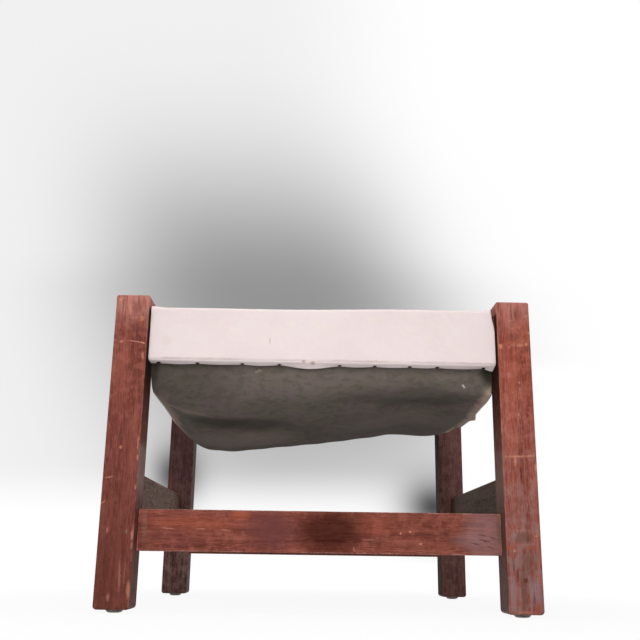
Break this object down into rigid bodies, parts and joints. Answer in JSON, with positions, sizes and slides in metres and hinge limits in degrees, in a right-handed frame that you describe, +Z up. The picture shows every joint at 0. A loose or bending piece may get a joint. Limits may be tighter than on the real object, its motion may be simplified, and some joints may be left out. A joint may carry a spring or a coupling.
{
  "type": "footstool",
  "caption": "Low square timber footstool with a thick leather sling that wraps the front and rear seat rails and sags between them as a deep open pocket.",
  "frame": {"origin": "middle of the footprint, on the surface that the four glides stand on", "axes": "+Z up, front towards -Y, +X to the right of a viewer who stands in front"},
  "size_m": [0.548, 0.52, 0.404],
  "materials": {
    "timber": "worn red-brown stain under thin old wax",
    "sling_leather": "pale vegetable-tanned hide, smooth grain side out and grey-olive suede below",
    "tack_iron": "dark oxidised iron",
    "glide_steel": "worn pressed steel, darkened"
  },
  "bodies": {
    "root": {"post_front_left": "timber", "post_front_right": "timber", "post_rear_left": "timber", "post_rear_right": "timber", "front_stretcher": "timber", "rear_stretcher": "timber", "side_board_left": "timber", "side_board_right": "timber", "front_seat_rail": "timber", "rear_seat_rail": "timber", "leather_sling": "sling_leather", "front_hem_tacks": "tack_iron", "rear_hem_tacks": "tack_iron", "glide_front_left": "glide_steel", "glide_front_right": "glide_steel", "glide_rear_left": "glide_steel", "glide_rear_right": "glide_steel"}
  },
  "joints": []
}
